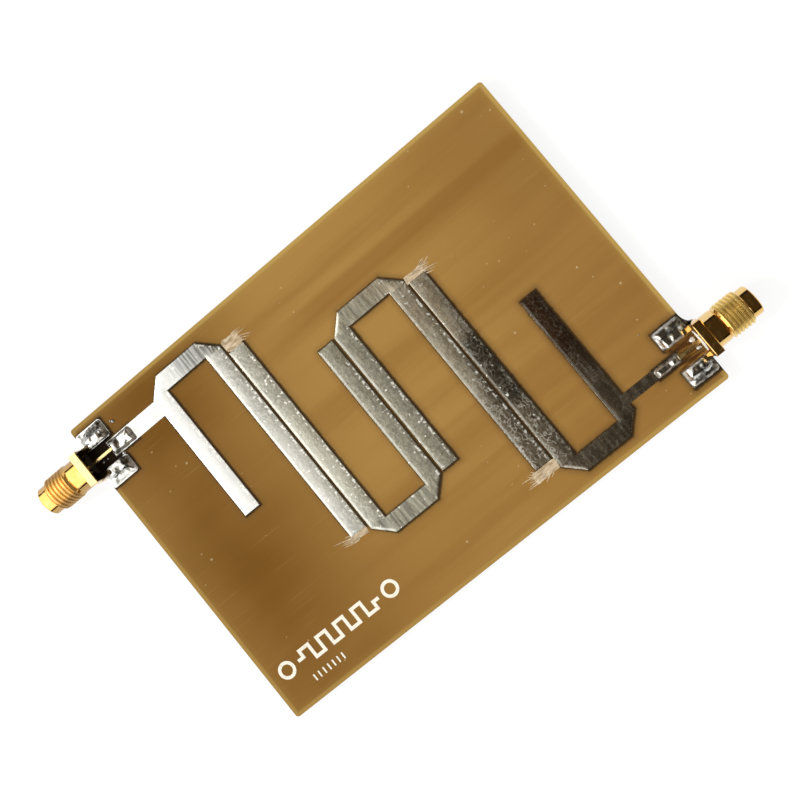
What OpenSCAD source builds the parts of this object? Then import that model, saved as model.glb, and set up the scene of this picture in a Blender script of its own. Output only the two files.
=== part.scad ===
// Microstrip bandpass filter: four hairpin resonators on a glass-epoxy board, with a coaxial socket
// on each short edge. X runs along the signal path, Y across the board and Z up. The origin is on the
// surface that the part rests on, under the middle of the board.

/* [Board] */
// Length of the board along the signal path
board_w = 92; // [85:0.5:110]
// Width of the board across the signal path
board_d = 62.9; // [58:0.1:75]
// Thickness of the glass-epoxy sheet
board_t = 1.6; // [0.8:0.1:1.6]
// Radius of the board's cut corners
corner_r = 0.6; // [0.2:0.1:3]
// Thickness of the copper with its tin coat
copper_t = 0.1; // [0.05:0.01:0.15]
// Bare rim that the ground plane leaves along the edges
plane_setback = 0.8; // [0.3:0.1:2]

/* [Resonators] */
// Width of every resonator trace
trace_w = 3.15; // [2:0.05:3.5]
// Clear width between the two legs of one hairpin
slot_w = 8.8; // [7:0.1:10]
// Gap between an outer hairpin and its neighbour
outer_gap = 0.45; // [0.2:0.05:1.2]
// Gap between the two middle hairpins
middle_gap = 0.55; // [0.2:0.05:1.2]
// Size of the cut across each outer corner of a hairpin
miter = 3.1; // [1:0.1:3.1]
// Board edge to the outer side of an outer hairpin's bar
outer_bar_inset = 2.4; // [1:0.1:3.5]
// Board edge to the outer side of a middle hairpin's bar
inner_bar_inset = 14.05; // [10:0.05:16]
// Length of the tapped leg, from its bar to its open end
tap_leg_len = 25.15; // [15:0.05:38]
// Length filed off the untapped leg of an outer hairpin in tuning
outer_trim = 0.9; // [0:0.1:3]
// Length filed off the long leg of a middle hairpin in tuning
inner_trim = 2.05; // [0:0.05:4]

/* [Feed lines and pads] */
// Width of the feed line at the input
input_feed_w = 3.1; // [1.6:0.1:3.1]
// Width of the feed line at the output
output_feed_w = 2; // [1.6:0.1:3.1]
// Bare board between the edge and the start of a feed line
feed_setback = 3.8; // [2:0.1:4.5]
// Board edge to the axis of the input socket
input_port_inset = 7.1; // [6.9:0.1:9]
// Board edge to the axis of the output socket
output_port_inset = 7.6; // [6.9:0.1:9]
// Length of a ground pad along the socket's axis
pad_len = 5.6; // [4.9:0.1:8]
// Width of a ground pad
pad_w = 3.5; // [2:0.1:3.6]
// Edge of a ground pad past the inner side of its leg
pad_lap = 0.1; // [0:0.05:0.4]

/* [Socket shell] */
// Side of the square flange
flange_w = 6.5; // [6.5:0.1:8]
// Thickness of the flange
flange_t = 1.6; // [1:0.1:2.5]
// Radius of the flange's corners
flange_r = 0.35; // [0.1:0.05:0.8]
// Width of a solder leg
leg_w = 1; // [0.7:0.05:1.1]
// Thickness of a solder leg
leg_t = 1; // [0.6:0.05:1]
// Length of a solder leg past the flange
leg_len = 4.3; // [3.2:0.1:4.6]
// Diameter of the plain shoulder behind the thread
shoulder_d = 6; // [5.6:0.1:6.3]
// Length of the shoulder
shoulder_len = 2.4; // [1:0.1:4]
// Diameter of the relief groove behind the thread
groove_d = 5.35; // [5.1:0.05:5.5]
// Length of the relief groove
groove_len = 0.4; // [0.2:0.05:0.8]
// Outside diameter of the thread
thread_d = 6.35; // [6:0.05:6.5]
// Length of the threaded barrel
thread_len = 4.3; // [3.5:0.1:6]
// Bevel at each end of the thread
thread_bevel = 0.3; // [0.1:0.05:0.45]
// Diameter of the nose in front of the thread
nose_d = 5.4; // [5.1:0.05:5.6]
// Length of the nose
nose_len = 1.8; // [1:0.1:3]
// Bevel round the nose's front
nose_bevel = 0.15; // [0.05:0.05:0.2]
// Diameter of the mating bore at the front
mate_bore_d = 4.6; // [4.4:0.05:4.65]
// Depth of the mating bore
mate_bore_depth = 1.9; // [1.2:0.1:2.5]

/* [Dielectric and contact] */
// Diameter of the white dielectric and of the bore that it fills
insulator_d = 4.1; // [3.6:0.1:4.3]
// Diameter of the solder pin
pin_d = 0.8; // [0.6:0.05:1]
// Solder between the pin and its feed line
pin_lift = 0.05; // [0.02:0.01:0.1]
// Length of the pin past the flange
pin_len = 5.5; // [5:0.1:7]
// Diameter of the socket end of the contact
contact_d = 1.27; // [1.2:0.01:1.5]
// Dielectric between the flange's board side and the thick end of the contact
contact_step = 1.2; // [0.6:0.1:2.5]
// Diameter of the hole that takes the mating pin
socket_d = 0.94; // [0.8:0.01:1]
// Depth of that hole
socket_depth = 3; // [2.4:0.1:4]
// Width of the slots that make its end springy
spring_slot_w = 0.15; // [0.1:0.01:0.2]
// Length of those slots
spring_slot_len = 1.8; // [1:0.1:2.2]

/* [Solder] */
// Thickness of the solder at the rim of a joint
rim_t = 0.08; // [0.03:0.01:0.15]
// Solder on top of an upper leg or a pin
film_t = 0.12; // [0.05:0.01:0.3]
// Rise of the solder's crown over that film
crown_t = 0.1; // [0.02:0.01:0.2]
// Bare leg between the flange and the solder on top of it
bare_leg = 1.5; // [0.5:0.1:2]
// Solder past the end of a leg or a pin, before it slopes down
past_end = 0.25; // [0.1:0.05:0.4]
// Height of a lower joint's fillet as a share of its leg's thickness
lower_fill = 0.85; // [0.5:0.05:0.9]
// Length of the solder along a feed line
feed_solder_len = 5.2; // [3.5:0.1:8]
// Bare edge that the solder leaves round a pad or a feed line
solder_margin = 0.1; // [0.05:0.05:0.3]

/* [Hidden] */

round_fn = 96;
eps = 0.5;

// Heights, counted up from the flange's lower side, which the part rests on
axis_z = flange_w / 2;
copper_top = axis_z - pin_d / 2 - pin_lift;
board_top = copper_top - copper_t;
board_bottom = board_top - board_t;
plane_bottom = board_bottom - copper_t;

// Sizes and places of the resonators
hairpin_w = 2 * trace_w + slot_w;
row_w = 4 * hairpin_w + 2 * outer_gap + middle_gap;
outer_bar_y = board_d / 2 - outer_bar_inset;
inner_bar_y = board_d / 2 - inner_bar_inset;
outer_hairpin_x = -row_w / 2;
middle_hairpin_x = -middle_gap / 2 - hairpin_w;
full_leg_len = outer_bar_y + inner_bar_y - 2 * trace_w;
short_leg_len = 2 * (inner_bar_y - trace_w);

// Places of the sockets
input_y = board_d / 2 - input_port_inset;
output_y = -board_d / 2 + output_port_inset;

// Stations along a socket, counted outward from the flange's board side
groove_start = flange_t + shoulder_len;
thread_start = groove_start + groove_len;
nose_start = thread_start + thread_len;
socket_len = nose_start + nose_len;
reference_plane = socket_len - mate_bore_depth;

// Heights in a socket's own frame, whose origin is on its axis
pad_z = copper_top - axis_z;
plane_z = plane_bottom - axis_z;
leg_inner = flange_w / 2 - leg_w;

// Fineness and form of the solder's fillets
corner_points = 7;
slope_rings = 6;
slope_power = 1.8;
crown_rings = 2;
foot_r = 0.6;
leg_crest_r = 0.4;
pin_crest_r = 0.35;

// Foot and crest of each joint in a socket's own frame, as the low and the high corner of a box.
// A leg's joint is given for the outer side, and a lower one starts past the ground plane's rim.
pad_foot = [
    [-pad_len + solder_margin, -leg_inner + pad_lap - pad_w + solder_margin],
    [-solder_margin, -leg_inner + pad_lap]
];
lower_foot = [
    pad_foot[0],
    [-plane_setback - solder_margin, pad_foot[1][1]]
];
leg_crest = [
    [-leg_len - past_end, -leg_inner - leg_w - past_end],
    [-bare_leg, -leg_inner + pad_lap / 2]
];
function pin_foot(feed_w) = [
    [-feed_setback - feed_solder_len, -feed_w / 2 + solder_margin],
    [-feed_setback - solder_margin, feed_w / 2 - solder_margin]
];
pin_crest = [
    [-pin_len - past_end, -pin_d / 2 - solder_margin],
    [-feed_setback - 2 * solder_margin - pin_d / 2, pin_d / 2 + solder_margin]
];

gold = [0.86, 0.64, 0.24];
tinned = [0.66, 0.66, 0.62];
solder_grey = [0.55, 0.55, 0.54];

module rounded_sheet(size_x, size_y, r, t) {
    linear_extrude(height = t) {
        square([size_x - 2 * r, size_y], center = true);
        square([size_x, size_y - 2 * r], center = true);
        for (sx = [-1, 1], sy = [-1, 1])
            translate([sx * (size_x / 2 - r), sy * (size_y / 2 - r)])
                circle(r = r, $fn = round_fn);
    }
}

module substrate() {
    color([0.60, 0.43, 0.20])
        translate([0, 0, board_bottom])
            rounded_sheet(board_w, board_d, corner_r, board_t);
}

module ground_plane() {
    color([0.72, 0.45, 0.26])
        translate([0, 0, plane_bottom])
            rounded_sheet(board_w - 2 * plane_setback, board_d - 2 * plane_setback, corner_r, copper_t);
}

// One hairpin, seen from above with its bar at the top. Its outer left corner is the origin and its
// legs point down. Each leg's length counts from the inner side of the bar. The points of a tap, if
// there is one, run up the outer side of the left leg.
module hairpin_outline(left_len, right_len, tap = []) {
    polygon(concat(
        [[0, -trace_w - left_len]],
        tap,
        [
            [0, -miter],
            [miter, 0],
            [hairpin_w - miter, 0],
            [hairpin_w, -miter],
            [hairpin_w, -trace_w - right_len],
            [slot_w + trace_w, -trace_w - right_len],
            [slot_w + trace_w, -trace_w],
            [trace_w, -trace_w],
            [trace_w, -trace_w - left_len]
        ]
    ));
}

// The hairpin at the input end, tapped by the feed line that meets its left leg
module tapped_hairpin(feed_y, feed_w) {
    feed_x = -board_w / 2 + feed_setback - outer_hairpin_x;
    feed_low = feed_y - feed_w / 2 - outer_bar_y;
    feed_high = feed_low + feed_w;
    color(tinned)
        translate([outer_hairpin_x, outer_bar_y, board_top])
            linear_extrude(height = copper_t)
                hairpin_outline(
                    tap_leg_len,
                    full_leg_len - outer_trim,
                    [[0, feed_low], [feed_x, feed_low], [feed_x, feed_high], [0, feed_high]]
                );
}

// The hairpin left of the middle, which opens upward
module middle_hairpin() {
    color(tinned)
        translate([middle_hairpin_x, -inner_bar_y, board_top])
            linear_extrude(height = copper_t)
                mirror([0, 1])
                    hairpin_outline(full_leg_len - inner_trim, short_leg_len);
}

module input_hairpin() {
    tapped_hairpin(input_y, input_feed_w);
}

module second_hairpin() {
    middle_hairpin();
}

module third_hairpin() {
    rotate([0, 0, 180])
        middle_hairpin();
}

module output_hairpin() {
    rotate([0, 0, 180])
        tapped_hairpin(-output_y, output_feed_w);
}

// A socket's own frame: the axis is +X and points away from the board, and the origin is where the
// axis leaves the flange on its board side. Its outer side is -Y, towards the board's long edge.
module at_input() {
    translate([-board_w / 2, input_y, axis_z])
        rotate([0, 0, 180])
            children();
}

module at_output() {
    translate([board_w / 2, output_y, axis_z])
        children();
}

module ground_pad() {
    color(tinned)
        translate([-pad_len, -leg_inner + pad_lap - pad_w, pad_z - copper_t])
            cube([pad_len, pad_w, copper_t]);
}

// The turned outside of the shell, as radius and station
module barrel_profile() {
    polygon([
        [0, flange_t - eps],
        [shoulder_d / 2, flange_t - eps],
        [shoulder_d / 2, groove_start],
        [groove_d / 2, groove_start],
        [groove_d / 2, thread_start],
        [thread_d / 2 - thread_bevel, thread_start],
        [thread_d / 2, thread_start + thread_bevel],
        [thread_d / 2, nose_start - thread_bevel],
        [thread_d / 2 - thread_bevel, nose_start],
        [nose_d / 2, nose_start],
        [nose_d / 2, socket_len - nose_bevel],
        [nose_d / 2 - nose_bevel, socket_len],
        [0, socket_len]
    ]);
}

module along_axis() {
    rotate([0, 90, 0])
        children();
}

module leg(side, z) {
    translate([-leg_len, side * (leg_inner + leg_w / 2) - leg_w / 2, z])
        cube([leg_len + flange_t / 2, leg_w, leg_t]);
}

module socket_shell() {
    color(gold)
        difference() {
            union() {
                along_axis() {
                    rounded_sheet(flange_w, flange_w, flange_r, flange_t);
                    rotate_extrude($fn = round_fn)
                        barrel_profile();
                }
                for (side = [-1, 1]) {
                    leg(side, pad_z);
                    leg(side, plane_z - leg_t);
                }
            }
            along_axis() {
                translate([0, 0, -eps])
                    cylinder(d = insulator_d, h = socket_len + 2 * eps, $fn = round_fn);
                translate([0, 0, reference_plane])
                    cylinder(d = mate_bore_d, h = mate_bore_depth + eps, $fn = round_fn);
            }
        }
}

module socket_insulator() {
    color([0.95, 0.95, 0.93])
        along_axis()
            difference() {
                cylinder(d = insulator_d, h = reference_plane, $fn = round_fn);
                translate([0, 0, -eps])
                    cylinder(d = pin_d, h = contact_step + 2 * eps, $fn = round_fn);
                translate([0, 0, contact_step])
                    cylinder(d = contact_d, h = socket_len, $fn = round_fn);
            }
}

module socket_contact() {
    color(gold)
        along_axis()
            difference() {
                union() {
                    translate([0, 0, -pin_len])
                        cylinder(d = pin_d, h = pin_len + contact_step + eps, $fn = round_fn);
                    translate([0, 0, contact_step])
                        cylinder(d = contact_d, h = reference_plane - contact_step, $fn = round_fn);
                }
                translate([0, 0, reference_plane - socket_depth])
                    cylinder(d = socket_d, h = socket_depth + eps, $fn = round_fn);
                for (turn = [0, 90])
                    rotate([0, 0, turn])
                        translate([-contact_d, -spring_slot_w / 2, reference_plane - spring_slot_len])
                            cube([2 * contact_d, spring_slot_w, spring_slot_len + eps]);
            }
}

// The outline of a rectangle with rounded corners, as a list of points in order
function rounded_outline(box, r) = [
    for (corner = [0:3], k = [0:corner_points - 1])
        let (
            a = 90 * (corner + k / (corner_points - 1)),
            cx = corner == 0 || corner == 3 ? box[1][0] - r : box[0][0] + r,
            cy = corner < 2 ? box[1][1] - r : box[0][1] + r
        )
        [cx + r * cos(a), cy + r * sin(a)]
];

function side_facets(ring, n) = [
    for (i = [0:n - 1])
        let (j = (i + 1) % n)
        [ring * n + i, (ring + 1) * n + i, (ring + 1) * n + j, ring * n + j]
];

// A solder fillet that stands on z = 0. Its foot and its crest are boxes [[x, y], [x, y]], and it
// climbs from the one to the other along a hollow slope, with a low crown on the crest.
module solder_fillet(foot, crest, crest_r, height, crown) {
    outer = rounded_outline(foot, foot_r);
    inner = rounded_outline(crest, crest_r);
    middle = (crest[0] + crest[1]) / 2;
    n = len(outer);
    slope = [
        for (k = [0:slope_rings], i = [0:n - 1])
            let (climb = k / slope_rings, p = outer[i] + (inner[i] - outer[i]) * climb)
            [p[0], p[1], rim_t + (height - rim_t) * pow(climb, slope_power)]
    ];
    top = [
        for (k = [1:crown_rings], i = [0:n - 1])
            let (in = k / (crown_rings + 1), p = inner[i] + (middle - inner[i]) * in)
            [p[0], p[1], height + crown * (1 - pow(1 - in, 2))]
    ];
    base = [for (p = outer) [p[0], p[1], 0]];
    rings = slope_rings + crown_rings + 1;
    apex = (rings + 1) * n;
    polyhedron(
        points = concat(base, slope, top, [[middle[0], middle[1], height + crown]]),
        faces = concat(
            [[for (i = [0:n - 1]) i]],
            [for (ring = [0:rings - 1]) each side_facets(ring, n)],
            [for (i = [0:n - 1]) [rings * n + i, apex, rings * n + (i + 1) % n]]
        ),
        convexity = 4
    );
}

module upper_joint() {
    color(solder_grey)
        difference() {
            translate([0, 0, pad_z])
                solder_fillet(pad_foot, leg_crest, leg_crest_r, leg_t + film_t, crown_t);
            leg(-1, pad_z);
        }
}

module lower_joint() {
    color(solder_grey)
        difference() {
            translate([0, 0, plane_z])
                mirror([0, 0, 1])
                    solder_fillet(lower_foot, leg_crest, leg_crest_r, leg_t * lower_fill, 0);
            leg(-1, plane_z - leg_t);
        }
}

module pin_joint(feed_w) {
    color(solder_grey)
        difference() {
            translate([0, 0, pad_z])
                solder_fillet(pin_foot(feed_w), pin_crest, pin_crest_r, pin_lift + pin_d + film_t, crown_t);
            translate([-pin_len, 0, 0])
                along_axis()
                    cylinder(d = pin_d, h = pin_len, $fn = round_fn);
        }
}

module inner_side() {
    mirror([0, 1, 0])
        children();
}

module input_pad_outer() { at_input() ground_pad(); }
module input_pad_inner() { at_input() inner_side() ground_pad(); }
module output_pad_outer() { at_output() ground_pad(); }
module output_pad_inner() { at_output() inner_side() ground_pad(); }

module input_shell() { at_input() socket_shell(); }
module input_insulator() { at_input() socket_insulator(); }
module input_contact() { at_input() socket_contact(); }
module output_shell() { at_output() socket_shell(); }
module output_insulator() { at_output() socket_insulator(); }
module output_contact() { at_output() socket_contact(); }

module input_pin_solder() { at_input() pin_joint(input_feed_w); }
module output_pin_solder() { at_output() pin_joint(output_feed_w); }

module input_solder_top_outer() { at_input() upper_joint(); }
module input_solder_top_inner() { at_input() inner_side() upper_joint(); }
module input_solder_bottom_outer() { at_input() lower_joint(); }
module input_solder_bottom_inner() { at_input() inner_side() lower_joint(); }
module output_solder_top_outer() { at_output() upper_joint(); }
module output_solder_top_inner() { at_output() inner_side() upper_joint(); }
module output_solder_bottom_outer() { at_output() lower_joint(); }
module output_solder_bottom_inner() { at_output() inner_side() lower_joint(); }

substrate();
ground_plane();
input_hairpin();
second_hairpin();
third_hairpin();
output_hairpin();
input_pad_outer();
input_pad_inner();
output_pad_outer();
output_pad_inner();
input_shell();
input_insulator();
input_contact();
output_shell();
output_insulator();
output_contact();
input_pin_solder();
output_pin_solder();
input_solder_top_outer();
input_solder_top_inner();
input_solder_bottom_outer();
input_solder_bottom_inner();
output_solder_top_outer();
output_solder_top_inner();
output_solder_bottom_outer();
output_solder_bottom_inner();
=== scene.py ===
"""A microstrip bandpass filter: a bare glass-epoxy board that carries four hand-tinned hairpin
resonators, with a gold-plated coaxial socket soldered to each short edge. All sizes are in metres."""

import functools
import math

import bmesh
import bpy
from mathutils import Matrix, Vector, noise


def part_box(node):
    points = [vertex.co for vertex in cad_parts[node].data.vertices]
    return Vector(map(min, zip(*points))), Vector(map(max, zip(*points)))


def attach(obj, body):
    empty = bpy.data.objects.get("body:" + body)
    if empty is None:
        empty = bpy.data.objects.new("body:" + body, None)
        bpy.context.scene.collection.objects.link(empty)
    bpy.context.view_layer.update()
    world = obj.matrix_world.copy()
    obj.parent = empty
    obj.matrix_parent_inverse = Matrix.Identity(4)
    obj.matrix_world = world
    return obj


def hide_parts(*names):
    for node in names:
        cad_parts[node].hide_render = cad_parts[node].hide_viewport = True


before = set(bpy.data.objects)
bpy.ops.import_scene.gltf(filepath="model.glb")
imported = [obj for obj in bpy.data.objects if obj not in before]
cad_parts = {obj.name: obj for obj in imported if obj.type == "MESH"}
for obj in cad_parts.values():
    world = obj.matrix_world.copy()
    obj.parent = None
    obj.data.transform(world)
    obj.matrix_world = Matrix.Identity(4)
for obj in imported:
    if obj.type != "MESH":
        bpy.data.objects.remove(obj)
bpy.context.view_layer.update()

# The board is one sheet of bare glass-epoxy laminate, cut from a larger panel. Its amber resin lets
# some light through, so the rim that has no copper behind it is paler, and its cut edges show the
# layers of glass cloth. Light and shade are painted into its colour: darker at the left, lightest in
# the middle. A painted shadow lies dark along every trace, with a halo of painted shade and flux, and
# flux with painted shade darkens the board between each socket's legs, streaked at the output with
# painted reflections of the pin.
board_low, board_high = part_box("substrate")
plane_low, plane_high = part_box("ground_plane")
board_half_x, board_half_y = board_high.xy
bare_rim = board_high.x - plane_high.x
shaded_amber = (0.178, 0.078, 0.009, 1)
lit_amber = (0.378, 0.212, 0.056, 1)
dimmer_lit_amber = (0.296, 0.156, 0.040, 1)
resin_dark = (0.255, 0.123, 0.026, 1)
resin_pale = (0.450, 0.262, 0.080, 1)
rim_amber = (0.490, 0.325, 0.092, 1)
rim_brown = (0.395, 0.245, 0.066, 1)
cut_edge = (0.62, 0.50, 0.28, 1)
shade_and_flux_brown = (0.105, 0.056, 0.020, 1)
painted_shadow_dark = (0.020, 0.012, 0.005, 1)
pale_speck = (0.60, 0.47, 0.26, 1)
painted_shadow_black = (0.012, 0.008, 0.006, 1)
flux_and_shade_red = (0.062, 0.024, 0.007, 1)
flux_and_reflection_gold = (0.235, 0.115, 0.024, 1)
ply = 0.0002
cut_edge_bevel = 0.00008
resin_band_y = 0.0203
resin_band_half = 0.0022
hairpin_w = 0.0151
trace_w = 0.00315
feed_margin = 0.0001
shade_pool_half = (0.0023, 0.0021, 1)
shade_pool_fade = 0.0012
shadow_shift = (0.00016, -0.00010, 0)
shadow_sway = 0.0003
hairpins = ("input_hairpin", "second_hairpin", "third_hairpin", "output_hairpin")
pads = ("input_pad_outer", "input_pad_inner", "output_pad_outer", "output_pad_inner")


class Value:
    """One output of a shader node. Arithmetic on it adds Math nodes to the same tree."""

    def __init__(self, socket):
        self.socket = socket
        self.tree = socket.id_data

    def __add__(self, other):
        return reckon("ADD", self, other)

    def __sub__(self, other):
        return reckon("SUBTRACT", self, other)

    def __rsub__(self, other):
        return reckon("SUBTRACT", other, self)

    def __mul__(self, other):
        return reckon("MULTIPLY", self, other)

    def __abs__(self):
        return reckon("ABSOLUTE", self)

    __radd__ = __add__
    __rmul__ = __mul__


def first_of(*values):
    """The first of some values that comes from a node."""
    return next(value for value in values if isinstance(value, Value))


def feed(sockets, values):
    """Gives each named socket a plain value or a node's output. An underscore stands for a space."""
    for name, value in values.items():
        socket = sockets[name.replace("_", " ") if isinstance(name, str) else name]
        if isinstance(value, Value):
            value.tree.links.new(value.socket, socket)
        else:
            socket.default_value = value


def add_node(tree, kind, inputs=None, **settings):
    """A new shader node. Its outputs come back under their numbers and their names."""
    node = tree.nodes.new(kind)
    for name, value in settings.items():
        setattr(node, name, value)
    feed(node.inputs, inputs or {})
    return {key: Value(output) for k, output in enumerate(node.outputs) for key in (k, output.name)}


def reckon(operation, *values):
    """What a Math node makes of numbers, or a Vector Math node of vectors and colours."""
    first = first_of(*values)
    kind = "ShaderNodeMath" if first.socket.type == "VALUE" else "ShaderNodeVectorMath"
    outputs = add_node(first.tree, kind, dict(enumerate(values)), operation=operation)
    return outputs[1 if operation in ("LENGTH", "DOT_PRODUCT") else 0]


def most(*values):
    """The largest of some values."""
    return functools.reduce(lambda first, second: reckon("MAXIMUM", first, second), values)


def spread(value, low, high, to_low=0.0, to_high=1.0):
    """A value between low and high, eased to lie between to_low and to_high."""
    limits = {"Value": value, "From Min": low, "From Max": high, "To Min": to_low, "To Max": to_high}
    return add_node(value.tree, "ShaderNodeMapRange", limits, interpolation_type="SMOOTHSTEP")[0]


def blend(share, first, second):
    """The colour that lies a share of the way from the first to the second."""
    return add_node(share.tree, "ShaderNodeMix", {0: share, 6: first, 7: second}, data_type="RGBA")[2]


def paint(colour, *layers):
    """A colour under some layers. Each layer is how much it covers, and its own colour."""
    for share, layer_colour in layers:
        colour = blend(share, colour, layer_colour)
    return colour


def dim(colour, share):
    """A colour or vector times a number."""
    inputs = {0: colour, "Scale": share}
    return add_node(first_of(colour, share).tree, "ShaderNodeVectorMath", inputs, operation="SCALE")[0]


def parts_of(vector):
    """The three numbers of a vector."""
    parts = add_node(vector.tree, "ShaderNodeSeparateXYZ", {0: vector})
    return parts[0], parts[1], parts[2]


def speckle(here, per_metre, detail):
    """The outputs of a noise at a place."""
    return add_node(here.tree, "ShaderNodeTexNoise", {"Vector": here, "Scale": per_metre, "Detail": detail})


def raised(height, strength, distance):
    """Which way a surface faces once a height has made it uneven."""
    inputs = {"Height": height, "Strength": strength, "Distance": distance}
    return add_node(height.tree, "ShaderNodeBump", inputs)[0]


def new_effect(name, **inputs):
    """A new shader node group, and what its user gives it."""
    effect = bpy.data.node_groups.new(name, "ShaderNodeTree")
    for label, value in inputs.items():
        kind = "NodeSocketVector" if isinstance(value, tuple) else "NodeSocketFloat"
        socket = effect.interface.new_socket(label.replace("_", " "), in_out="INPUT", socket_type=kind)
        socket.default_value = value
    return effect, add_node(effect, "NodeGroupInput")


def end_effect(effect, **outputs):
    """Gives a shader node group its outputs."""
    for label, value in outputs.items():
        kind = "NodeSocketVector" if value.socket.type == "VECTOR" else "NodeSocketFloat"
        effect.interface.new_socket(label, in_out="OUTPUT", socket_type=kind)
    feed(effect.nodes.new("NodeGroupOutput").inputs, outputs)
    return effect


def use_effect(effect, here, **values):
    """The outputs of a shader node group that is placed in a material."""
    return add_node(here.tree, "ShaderNodeGroup", {"Place": here, **values}, node_tree=effect)


def coat(material, **sockets):
    """Sets or links sockets of a material's Principled BSDF."""
    feed(material.node_tree.nodes["Principled BSDF"].inputs, sockets)
    return material


def new_finish(name, **sockets):
    """A material with a Principled BSDF, and where a point of the piece lies, in metres."""
    material = bpy.data.materials.new(name)
    material.use_nodes = True
    return coat(material, **sockets), add_node(material.node_tree, "ShaderNodeTexCoord")["Object"]


def make_uneven():
    """Slow unevenness: a soft noise that may be drawn out along one direction."""
    effect, given = new_effect(
        "uneven", Place=(0, 0, 0), Stretch=(1, 1, 1), Per_Metre=100, Detail=3, Low=0.35, High=0.65
    )
    cloud = speckle(given["Place"] * given["Stretch"], given["Per Metre"], given["Detail"])["Fac"]
    return end_effect(effect, Mask=spread(cloud, given["Low"], given["High"]))


uneven = make_uneven()


def mottle(here, per_metre, detail, low=0.35, high=0.65, stretch=(1, 1, 1)):
    """A mask of slow unevenness."""
    settings = {"Per_Metre": per_metre, "Detail": detail, "Low": low, "High": high, "Stretch": stretch}
    return use_effect(uneven, here, **settings)["Mask"]


def make_way_to_strip():
    """How far a point of the board lies from a strip of copper: a box that may have two corners cut."""
    effect, given = new_effect(
        "way_to_strip", Place=(0, 0, 0), Middle=(0, 0, 0), Half=(1, 1, 1), Cut_Side=(0, 0, 0), Cut_Reach=1
    )
    away = given["Place"] - given["Middle"]
    sides = abs(away)
    from_box = reckon("LENGTH", most(sides - given["Half"], (0, 0, 0)))
    past_cut = parts_of(sides)[0] + reckon("DOT_PRODUCT", away, given["Cut Side"]) - given["Cut Reach"]
    return end_effect(effect, Distance=most(from_box, past_cut * math.sqrt(0.5)))


way_to_strip = make_way_to_strip()


def way_to(here, middle, half, cut_side=0, cut_reach=1):
    """How far a place lies from a strip. cut_side is 1 or -1 where its corners are cut on that side."""
    cut = {"Cut_Side": (0, cut_side, 0), "Cut_Reach": cut_reach}
    return use_effect(way_to_strip, here, Middle=middle, Half=half, **cut)["Distance"]


def top_outline(node):
    """The corners of a flat piece, seen from above, in order."""
    shape = bmesh.new()
    shape.from_mesh(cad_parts[node].data)
    bmesh.ops.remove_doubles(shape, verts=shape.verts, dist=1e-7)
    top = max(v.co.z for v in shape.verts)
    lower = [f for f in shape.faces if f.normal.z < 0.9 or f.calc_center_median().z < top - 1e-6]
    bmesh.ops.delete(shape, geom=lower, context="FACES")
    merged = bmesh.ops.dissolve_faces(shape, faces=shape.faces[:])["region"][0]
    corners = [Vector((v.co.x, v.co.y)) for v in merged.verts]
    shape.free()
    ways = [(c - corners[i - 1]).normalized() for i, c in enumerate(corners)]
    return [c for c, way, onward in zip(corners, ways, ways[1:] + ways[:1]) if way.dot(onward) < 0.9999]


def copper_strips():
    """Every strip of copper on the top: its low and high corner, and the side where corners are cut."""
    strips = []
    for node in hairpins:
        low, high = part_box(node)
        if node == "input_hairpin":
            low.x = high.x - hairpin_w
        if node == "output_hairpin":
            high.x = low.x + hairpin_w
        up = node in ("input_hairpin", "third_hairpin")
        bar = (high.y - trace_w, high.y) if up else (low.y, low.y + trace_w)
        strips.append(((low.x, bar[0]), (high.x, bar[1]), 1 if up else -1))
        corners = top_outline(node)
        for left in (low.x, high.x - trace_w):
            along = [c.y for c in corners if left - cut_edge_bevel < c.x < left + trace_w + cut_edge_bevel]
            leg = (min(along), bar[0]) if up else (bar[1], max(along))
            strips.append(((left, leg[0]), (left + trace_w, leg[1]), 0))
    for node in ("input_pin_solder", "output_pin_solder", *pads):
        low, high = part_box(node)
        margin = 0 if node in pads else feed_margin
        strips.append(((low.x, low.y - margin), (high.x, high.y + margin), 0))
    return strips


def nearest_strip(here, strips):
    """How far a place lies from the nearest of some strips."""
    nearest = 1
    for low, high, cut_side in strips:
        middle = ((low[0] + high[0]) / 2, (low[1] + high[1]) / 2, 0)
        half = ((high[0] - low[0]) / 2, (high[1] - low[1]) / 2, 1)
        cut_reach = half[0] + half[1] - trace_w if cut_side else 1
        nearest = reckon("MINIMUM", nearest, way_to(here, middle, half, cut_side, cut_reach))
    return nearest


def axis_of(end):
    """The middle of a socket's contact, which lies on the socket's axis."""
    low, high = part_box(f"{end}_contact")
    return (low + high) / 2


def painted_shade_beside_copper(here):
    """Masks of painted shade beside the copper, shifted towards +X and -Y: a thin dark line of painted
    shadow, and a wider brown halo of painted shade and flux.
    """
    sway = dim(speckle(here, 1300, 2)["Color"] - (0.5, 0.5, 0.5), shadow_sway)
    nearest = nearest_strip(here - shadow_shift + sway, copper_strips())
    return spread(nearest, 0.00008, 0.00050, 1, 0), spread(nearest, -0.0004, 0.0016, 1, 0)


def shade_and_flux_pool(here, end, side):
    """A mask round the joint of one pin, between the legs, where flux and painted shade darken the board."""
    middle = (side * (board_half_x - shade_pool_half[0]), axis_of(end).y, 0)
    return spread(way_to(here, middle, shade_pool_half), 0, shade_pool_fade, 0.94, 0)


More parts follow.
